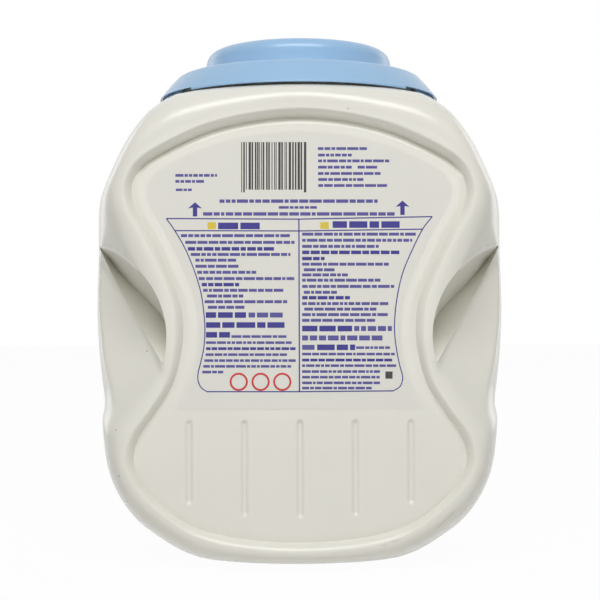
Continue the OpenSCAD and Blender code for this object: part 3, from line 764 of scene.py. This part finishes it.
def in_slot(i):
    """Whether a segment of the rim lies in one of the two side slots"""
    a = (i + 0.5) * 360 / SEGMENTS
    return min(abs((a + 180) % 360 - 180), abs(a - 180)) < SLOT_ANGLE / 2


def turned_faces(rows, keep):
    """Faces of the turned lid in the segments to keep"""
    faces = []
    for r in range(rows - 1):
        for i in filter(keep, range(SEGMENTS)):
            a, b = r * SEGMENTS + i, r * SEGMENTS + (i + 1) % SEGMENTS
            faces.append((a, b, b + SEGMENTS, a + SEGMENTS))
    return faces


def box_part(parts, low, high):
    """Box between two opposite corners"""
    points = [(x, y, z) for x in (low[0], high[0]) for y in (low[1], high[1])
              for z in (low[2], high[2])]
    parts.add(points, [(0, 1, 3, 2), (4, 6, 7, 5), (0, 4, 5, 1), (2, 3, 7, 6), (0, 2, 6, 4),
                       (1, 5, 7, 3)])


def add_cover(parts, outline):
    """Lid above the slots' height, closed over each slot"""
    start = parts.add(turned_points(outline, SEGMENTS), turned_faces(len(outline), lambda i: True))
    last = start + (len(outline) - 1) * SEGMENTS
    for i in filter(in_slot, range(SEGMENTS)):
        j = (i + 1) % SEGMENTS
        parts.faces.append((last + i, last + j, start + j, start + i))


def add_rim(parts, outline):
    """Rim between the slots, with its ends closed"""
    start = parts.add(turned_points(outline, SEGMENTS),
                      turned_faces(len(outline), lambda i: not in_slot(i)))
    for i in range(SEGMENTS):
        if in_slot(i) != in_slot((i - 1) % SEGMENTS):
            cap = [start + r * SEGMENTS + i for r in range(len(outline))]
            parts.faces.append(tuple(cap if in_slot(i) else cap[::-1]))


def add_plug(parts):
    """Sealing ring that enters the mouth, and the seat on the neck's top"""
    plug_r, plug_low = MOUTH_R - PLUG_GAP, SHELF_LOW_Z - PLUG_H
    top, seat_r, seat_top = SHOULDER_Z + NECK_H, MOUTH_R + NECK_WALL + SEAT_OUT, SHELF_LOW_Z + SEAT_IN
    lathe(parts, [(plug_r - LID_WALL, seat_top), (plug_r - LID_WALL, plug_low), (plug_r, plug_low),
                  (plug_r, top), (seat_r, top), (seat_r, seat_top)])


def add_lugs(parts):
    """Four lugs that hold the tabs' pivots"""
    for x in (-1, 1):
        for y in (-1, 1):
            xs = sorted((x * (PIVOT_X - LUG_IN), x * (PIVOT_X + LUG_OUT)))
            ys = sorted((y * LUG_NEAR, y * (LUG_NEAR + LUG_T)))
            box_part(parts, (xs[0], ys[0], LUG_LOW_Z), (xs[1], ys[1], LUG_TOP_Z))


def make_lid(materials):
    parts = Parts()
    main, rim = lid_outlines()
    add_cover(parts, main)
    add_rim(parts, rim)
    add_plug(parts)
    add_lugs(parts)
    piece = new_piece("lid_shell", parts.points, parts.faces, materials["blue"], "lid",
                      sharp=40)
    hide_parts("lid")


def dress_tabs(materials):
    """The tabs keep the part's own shape"""
    for name in ("release_tab_left", "release_tab_right"):
        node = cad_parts[name]
        node.data.materials.clear()
        node.data.materials.append(materials["blue"])


# Label


def film_outline():
    """Right half from the lower edge up, then the left half down, as (x, z)"""
    us = np.linspace(FILM_FIRST, LAST_PANEL, FILM_POINTS)
    right = [tuple(inset_point(PANEL_LINE, u, FILM_IN)) for u in us]
    right = [p for p in right if p[1] >= FILM_LOW_Z and p[0] >= 0]
    right = [(right[0][0], FILM_LOW_Z)] + right
    return right + [(-x, z) for x, z in right[::-1] if x > 0.01]


def make_film(materials):
    outline = film_outline()
    n = len(outline)
    back, front = -FLAT_Y - FILM_T, -FLAT_Y
    points = [(x, back, z) for x, z in outline] + [(x, front, z) for x, z in outline]
    faces = [tuple(range(n)), tuple(range(2 * n - 1, n - 1, -1))]
    faces += [(i, i + n, (i + 1) % n + n, (i + 1) % n) for i in range(n)]
    piece = new_piece("label_film", points, faces, materials["film"], "tub")
    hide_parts("back_label")


# Print: flat pieces just proud of the film, laid out in pixels of the photograph

PIXEL = 0.4901
MIDDLE_X, MIDDLE_Y, MIDDLE_Z = 299.3, 300.0, 132.4
PRINT_T, PRINT_SEED = 0.03, 7
ROLL = math.radians(CAMERA_ROLL)


def on_label(px, py):
    """Place of a pixel on the label as (x, z)"""
    u, v = (px - MIDDLE_X) * PIXEL, (MIDDLE_Y - py) * PIXEL
    return (u * math.cos(ROLL) + v * math.sin(ROLL),
            MIDDLE_Z - u * math.sin(ROLL) + v * math.cos(ROLL))


class Print:
    """Flat shapes of one ink"""

    def __init__(self):
        self.parts = Parts()

    def shape(self, pixels):
        """Flat face with its front to the viewer, whichever way round its corners run"""
        y = -FLAT_Y - FILM_T - PRINT_T
        points = [on_label(*p) for p in pixels]
        area = sum(a[0] * b[1] - b[0] * a[1] for a, b in zip(points, points[1:] + points[:1]))
        if area < 0:
            points = points[::-1]
        self.parts.add([(x, y, z) for x, z in points], [tuple(range(len(points)))])

    def box(self, x0, y0, x1, y1):
        self.shape([(x0, y0), (x1, y0), (x1, y1), (x0, y1)])

    def stroke(self, line, w):
        """Line of constant width through points"""
        pts = [np.array(p, float) for p in line]
        sides = []
        for i, p in enumerate(pts):
            d = pts[min(i + 1, len(pts) - 1)] - pts[max(i - 1, 0)]
            n = np.array((-d[1], d[0])) / np.linalg.norm(d) * w / 2
            sides.append((p + n, p - n))
        for (a, b), (c, d) in zip(sides, sides[1:]):
            self.shape([tuple(a), tuple(c), tuple(d), tuple(b)])

    def ring(self, x, y, r, w, n=64):
        """Ring of outer radius r and width w"""
        turn = [(math.cos(2 * math.pi * i / n), math.sin(2 * math.pi * i / n))
                for i in range(n + 1)]
        for (a, b), (c, d) in zip(turn, turn[1:]):
            self.shape([(x + r * a, y + r * b), (x + r * c, y + r * d),
                        (x + (r - w) * c, y + (r - w) * d), (x + (r - w) * a, y + (r - w) * b)])

    def make(self, name, material):
        new_piece(name, self.parts.points, self.parts.faces, material, "tub")


# Lines of small print: height of the line, its two ends, its letters' height
TOP_LINES = [(201.2, 219.4, 377.5, 3.4), (207.5, 278.7, 316.8, 2.6), (214.0, 203.0, 394.5, 3.4),
             (175.5, 175.4, 217.0, 2.8), (181.5, 175.4, 204.0, 2.8), (189.9, 175.8, 191.8, 2.4),
             (148.7, 317.7, 366.8, 2.8), (155.2, 317.9, 351.6, 2.8), (161.0, 317.9, 389.1, 2.8),
             (167.3, 317.9, 351.6, 2.8), (167.3, 357.4, 377.0, 2.8), (173.6, 317.9, 380.4, 2.8),
             (179.6, 318.1, 363.2, 2.8), (185.6, 318.1, 386.9, 2.8)]
LEFT_LINES = [(235.7, 180.9, 289.8, 3.0), (242.4, 185.2, 294.5, 3.0), (254.5, 190.7, 290.4, 3.0),
              (260.2, 195.4, 236.1, 3.0), (266.3, 195.4, 238.5, 3.0), (272.3, 197.2, 256.2, 3.0),
              (278.6, 198.7, 294.2, 3.0), (290.3, 203.1, 283.3, 3.0), (296.0, 207.0, 243.2, 3.0),
              (301.7, 204.6, 287.1, 3.0), (307.3, 207.8, 244.4, 3.0), (336.5, 231.4, 286.3, 2.6),
              (342.6, 206.0, 291.6, 2.6), (354.6, 205.5, 286.9, 2.6), (360.5, 204.3, 295.7, 2.6),
              (366.3, 203.3, 291.0, 2.6), (372.0, 202.3, 223.2, 2.6)]
RIGHT_LINES = [(234.2, 302.0, 415.6, 3.0), (240.3, 302.0, 412.0, 3.0), (246.4, 302.0, 378.6, 3.0),
               (264.2, 302.0, 388.6, 3.0), (269.8, 303.7, 334.4, 3.0), (274.9, 302.0, 347.7, 3.0),
               (280.2, 302.0, 380.2, 3.0), (286.4, 302.0, 394.0, 3.0), (292.3, 303.7, 336.8, 3.0),
               (303.6, 302.0, 388.1, 3.0), (309.1, 304.1, 376.2, 3.0), (314.6, 302.0, 387.7, 3.0),
               (320.3, 302.0, 375.0, 3.0), (347.6, 356.0, 389.8, 2.6), (354.0, 302.0, 394.6, 2.6),
               (365.6, 302.0, 396.0, 2.6), (371.5, 302.0, 379.8, 2.6), (377.1, 302.0, 379.5, 2.6),
               (382.8, 302.0, 379.8, 2.6), (388.0, 302.0, 371.6, 2.6)]
BOLD_LINES = [(248.9, 187.8, 273.9, 3.6), (284.6, 201.7, 239.1, 3.4), (315.0, 205.7, 246.0, 5.6),
              (325.0, 206.0, 284.5, 5.6), (334.8, 206.0, 230.0, 5.6), (348.6, 206.0, 295.5, 2.8),
              (252.4, 302.0, 399.2, 3.6), (258.6, 302.0, 324.5, 3.4), (297.7, 302.0, 349.8, 3.4),
              (328.5, 302.0, 352.0, 5.6), (347.3, 317.0, 355.0, 5.6), (360.0, 302.0, 392.0, 2.8),
              (226.0, 218.0, 259.7, 6.6), (224.6, 332.5, 399.5, 6.6)]
LIGHT_LINES = [(315.0, 248.5, 282.7, 5.0), (328.5, 354.0, 391.7, 5.0), (337.9, 302.0, 382.3, 5.0),
               (347.3, 302.0, 314.5, 5.0)]


# Bars of bold, small and light print: gap, shortest and longest bar, in heights of the letters
BOLD_BARS, SMALL_BARS, LIGHT_BARS = (0.34, 1.4, 3.4), (0.36, 1.0, 4.0), (0.34, 1.0, 2.4)


def words(ink, lines, bars, rng):
    """Bars of the lengths of words in place of each line of text"""
    gap, shortest, longest = bars
    for y, x0, x1, h in lines:
        x = x0
        while x < x1 - 1:
            length = min(rng.uniform(shortest, longest) * h, x1 - x)
            if x1 - (x + length) < h:
                length = x1 - x
            ink.box(x, y - h / 2, x + length, y + h / 2)
            x += length + gap * h


# Lines round and between the two columns of text, as points, and their widths
LEFT_SIDE = [(166.3, 218.6), (175.0, 230.9), (185.4, 249.2), (194.2, 270.5), (200.7, 291.7),
             (203.7, 311.7), (204.9, 330.6), (203.7, 348.3), (200.7, 362.5), (198.3, 372.0),
             (198.0, 380.0), (201.0, 387.3), (206.9, 391.6)]
RIGHT_SIDE = [(432.0, 216.7), (422.3, 229.4), (412.0, 250.0), (402.9, 271.8), (397.8, 292.4),
              (395.0, 313.0), (394.4, 331.2), (396.2, 348.2), (399.2, 363.9), (402.0, 374.0),
              (402.2, 380.5), (399.5, 386.8), (393.0, 390.8)]
FRAME_TOP, FRAME_LOW = (299.2, 219.2), (299.4, 391.6)
HEAD_LINE = [(175.0, 230.7), (299.2, 231.0), (422.3, 229.2)]
MIDDLE_LINE = [(298.8, 219.2), FRAME_LOW]
SIDE_STROKE, LEVEL_STROKE, MIDDLE_STROKE = 1.1, 1.2, 1.3
# Arrows: x of the middle, top and bottom, then half widths of head and shaft and heights of the head
ARROWS = [(195.0, 202.3, 216.5), (402.3, 200.7, 215.0)]
HEAD_HALF, SHAFT_HALF, HEAD_H, NOTCH_H = 7, 2.2, 6.2, 5.4
# Block of upright bars: ends, top and bottom, where the outer bars are longer, widths and gaps
BLOCK_X, BLOCK_Y = (241.2, 305.0), (142.2, 189.8)
LONG_BARS, LONG_BAR_Y = (244, 301.5), 192.5
BAR_WIDTHS, BAR_GAPS = (0.9, 0.9, 1.6, 2.4), (0.6, 0.6, 1.1, 1.7)
# Black square, three red rings and two yellow boxes
BLACK_BOX = (385.2, 371.4, 392.4, 378.6)
RING_XS, RING_Y, RING_R, RING_STROKE = (238.7, 260.5, 282.2), 381.8, 9.1, 2.0
YELLOW_MIDDLES, YELLOW_HALF, YELLOW_UP, YELLOW_DOWN = [(211.8, 225.6), (324.4, 225.4)], 4.2, 3.2, 3.6


def smooth_line(points, steps=6):
    """Points of the smooth curve through these, with so many steps between each two"""
    pts = np.array(points, float)
    return [curve(pts, k / steps) for k in range(steps * (len(pts) - 1) + 1)]


def arrow(ink, x, top, bottom):
    """Plain arrow that points up"""
    ink.shape([(x, top), (x + HEAD_HALF, top + HEAD_H), (x + SHAFT_HALF, top + NOTCH_H),
               (x + SHAFT_HALF, bottom), (x - SHAFT_HALF, bottom), (x - SHAFT_HALF, top + NOTCH_H),
               (x - HEAD_HALF, top + HEAD_H)])


def draw_frame(ink):
    """Lines round and between the two columns of text"""
    for side in (LEFT_SIDE, RIGHT_SIDE):
        ink.stroke(smooth_line(side), SIDE_STROKE)
    ink.stroke([LEFT_SIDE[0], FRAME_TOP, RIGHT_SIDE[0]], LEVEL_STROKE)
    ink.stroke(HEAD_LINE, LEVEL_STROKE)
    ink.stroke([LEFT_SIDE[-1], FRAME_LOW, RIGHT_SIDE[-1]], LEVEL_STROKE)
    ink.stroke(MIDDLE_LINE, MIDDLE_STROKE)


def draw_block(ink, rng):
    """Upright bars of chance widths, which encode nothing"""
    x = BLOCK_X[0]
    while x < BLOCK_X[1]:
        wide = rng.choice(BAR_WIDTHS)
        outer = x < LONG_BARS[0] or x > LONG_BARS[1]
        ink.box(x, BLOCK_Y[0], x + wide, LONG_BAR_Y if outer else BLOCK_Y[1])
        x += wide + rng.choice(BAR_GAPS)


def make_print(materials):
    rng = random.Random(PRINT_SEED)
    inks = {key: Print() for key in ("navy", "small", "black", "red", "yellow")}
    draw_frame(inks["navy"])
    words(inks["navy"], BOLD_LINES, BOLD_BARS, rng)
    for place in ARROWS:
        arrow(inks["navy"], *place)
    words(inks["small"], TOP_LINES + LEFT_LINES + RIGHT_LINES, SMALL_BARS, rng)
    words(inks["small"], LIGHT_LINES, LIGHT_BARS, rng)
    draw_block(inks["black"], rng)
    inks["black"].box(*BLACK_BOX)
    for x in RING_XS:
        inks["red"].ring(x, RING_Y, RING_R, RING_STROKE)
    for x, y in YELLOW_MIDDLES:
        inks["yellow"].box(x - YELLOW_HALF, y - YELLOW_UP, x + YELLOW_HALF, y + YELLOW_DOWN)
    for key, ink in inks.items():
        ink.make("print_" + key, materials[key])


# Wear: middle x and y in the picture, half length, half width and turn in degrees of each mark
DARK_MARKS = [(147.0, 351.0, 0.8, 0.6, 0), (119.0, 476.0, 0.9, 0.5, 30),
              (127.0, 501.0, 0.8, 0.5, 0), (116.0, 430.0, 0.7, 0.5, 0)]
FAINT_MARKS = [(446.0, 519.0, 9.0, 0.5, 42), (452.0, 513.0, 5.0, 0.4, 47),
               (438.0, 527.0, 4.0, 0.4, 38), (394.0, 541.0, 4.0, 0.5, 15),
               (384.0, 545.0, 3.0, 0.5, 10), (348.0, 108.5, 1.6, 1.1, 0)]
MARK_LIFT, MARK_POINTS = 0.03, 12


def mark_ring(mark, eye, tree):
    """Outline of one mark where the camera sees it on the skin, shorter where a point misses it"""
    px, py, long, wide, turn = mark
    c, s = math.cos(math.radians(turn)), math.sin(math.radians(turn))
    ring = []
    for i in range(MARK_POINTS):
        angle = 2 * math.pi * i / MARK_POINTS
        u, v = math.cos(angle) * long, math.sin(angle) * wide
        x, z = on_label(px + u * c + v * s, py - u * s + v * c)
        ray = (Vector((x, -FLAT_Y, z)) - eye).normalized()
        hit = tree.ray_cast(eye, ray)[0]
        if hit is not None:
            ring.append(tuple(hit - ray * MARK_LIFT))
    return ring


def make_marks(name, marks, material, tree):
    """Small marks of wear that lie on the skin"""
    eye = Vector((CAMERA_X / MM, -CAMERA_DISTANCE / MM, CAMERA_Z / MM))
    points, faces = [], []
    for mark in marks:
        ring = mark_ring(mark, eye, tree)
        if len(ring) == MARK_POINTS:
            faces.append(tuple(range(len(points), len(points) + MARK_POINTS)))
            points.extend(ring)
    new_piece(name, points, faces, material, "tub")


def add_wear(materials, tub):
    found = [tuple(v.co / MM) for v in tub.data.vertices]
    tree = BVHTree.FromPolygons(found, [tuple(p.vertices) for p in tub.data.polygons])
    make_marks("wear_dark", DARK_MARKS, materials["grime"], tree)
    make_marks("wear_faint", FAINT_MARKS, materials["scuff"], tree)


# Stage and light

# Half width of the floor and how far it lies under the base, in metres; its share of plain white
FLOOR_HALF, FLOOR_DROP, FLOOR_WHITE = 3.0, 0.0003, 0.97
FLOOR_GREY, FLOOR_ROUGHNESS = (0.8, 0.8, 0.8, 1), 0.7
# Strength of the world's light on the object, next to 1 where the camera or a reflection sees it
AMBIENT = 0.22


def larger_of(tree, first, second):
    """The larger of two outputs"""
    node = tree.nodes.new("ShaderNodeMath")
    node.operation = "MAXIMUM"
    tree.links.new(first, node.inputs[0])
    tree.links.new(second, node.inputs[1])
    return node.outputs[0]


def floor_material():
    """Seen as nearly plain white, but with the object's shadow, and grey as it lights the object"""
    material = bpy.data.materials.new("floor")
    material.use_nodes = True
    tree = material.node_tree
    shader = tree.nodes["Principled BSDF"]
    shader.inputs["Base Color"].default_value = FLOOR_GREY
    shader.inputs["Roughness"].default_value = FLOOR_ROUGHNESS
    path = tree.nodes.new("ShaderNodeLightPath")
    glow = tree.nodes.new("ShaderNodeEmission")
    glow.inputs["Strength"].default_value = 1.0
    direct = larger_of(tree, path.outputs["Is Camera Ray"], path.outputs["Is Glossy Ray"])
    share = tree.nodes.new("ShaderNodeMath")
    share.operation = "MULTIPLY"
    share.inputs[1].default_value = FLOOR_WHITE
    mix = tree.nodes.new("ShaderNodeMixShader")
    tree.links.new(direct, share.inputs[0])
    tree.links.new(share.outputs[0], mix.inputs[0])
    tree.links.new(shader.outputs[0], mix.inputs[1])
    tree.links.new(glow.outputs[0], mix.inputs[2])
    tree.links.new(mix.outputs[0], tree.nodes["Material Output"].inputs[0])
    return material


def make_floor():
    mesh = bpy.data.meshes.new("floor")
    corners = [(x * FLOOR_HALF, y * FLOOR_HALF, 0) for x, y in ((-1, -1), (1, -1), (1, 1), (-1, 1))]
    mesh.from_pydata(corners, [], [(0, 1, 2, 3)])
    mesh.materials.append(floor_material())
    floor = bpy.data.objects.new("floor", mesh)
    floor.location.z = -FLOOR_DROP
    bpy.context.scene.collection.objects.link(floor)


def make_world():
    """Plain white where it is seen or mirrored, and a weaker light on the object"""
    world = bpy.data.worlds.new("studio")
    bpy.context.scene.world = world
    world.use_nodes = True
    tree = world.node_tree
    background = tree.nodes["Background"]
    background.inputs["Color"].default_value = (1, 1, 1, 1)
    path = tree.nodes.new("ShaderNodeLightPath")
    level = tree.nodes.new("ShaderNodeMapRange")
    level.inputs["To Min"].default_value = AMBIENT
    level.inputs["To Max"].default_value = 1.0
    seen = larger_of(tree, path.outputs["Is Camera Ray"], path.outputs["Is Transmission Ray"])
    seen = larger_of(tree, seen, path.outputs["Is Glossy Ray"])
    tree.links.new(seen, level.inputs["Value"])
    tree.links.new(level.outputs[0], background.inputs["Strength"])


# Lamps: name, place, width and height in metres, watts; all aim at the middle of the tub
LAMPS = [
    ("lamp_top", (0, -0.9, 1.3), (1.2, 0.5), 12.5),
    ("lamp_front", (0, -1.7, 0.15), (1.0, 0.7), 4.6),
    ("lamp_rear_left", (-0.9, 0.9, 0.4), (0.5, 0.9), 1.4),
    ("lamp_rear_right", (0.9, 0.9, 0.4), (0.5, 0.9), 1.4),
]
LAMP_AIM = (0, 0, 0.14)


def add_lamp(name, place, size, watts):
    data = bpy.data.lights.new(name, "AREA")
    data.shape = "RECTANGLE"
    data.size, data.size_y = size
    data.energy = watts
    lamp = bpy.data.objects.new(name, data)
    lamp.location = place
    lamp.rotation_euler = (Vector(LAMP_AIM) - Vector(place)).to_track_quat("-Z", "Y").to_euler()
    bpy.context.scene.collection.objects.link(lamp)


def make_lights():
    for lamp in LAMPS:
        add_lamp(*lamp)


def main():
    scene = bpy.context.scene
    scene.view_settings.view_transform = "Standard"
    make_camera()
    materials = make_materials()
    tub = make_tub(materials)
    make_lid(materials)
    dress_tabs(materials)
    make_film(materials)
    make_print(materials)
    add_wear(materials, tub)
    make_floor()
    make_world()
    make_lights()


main()
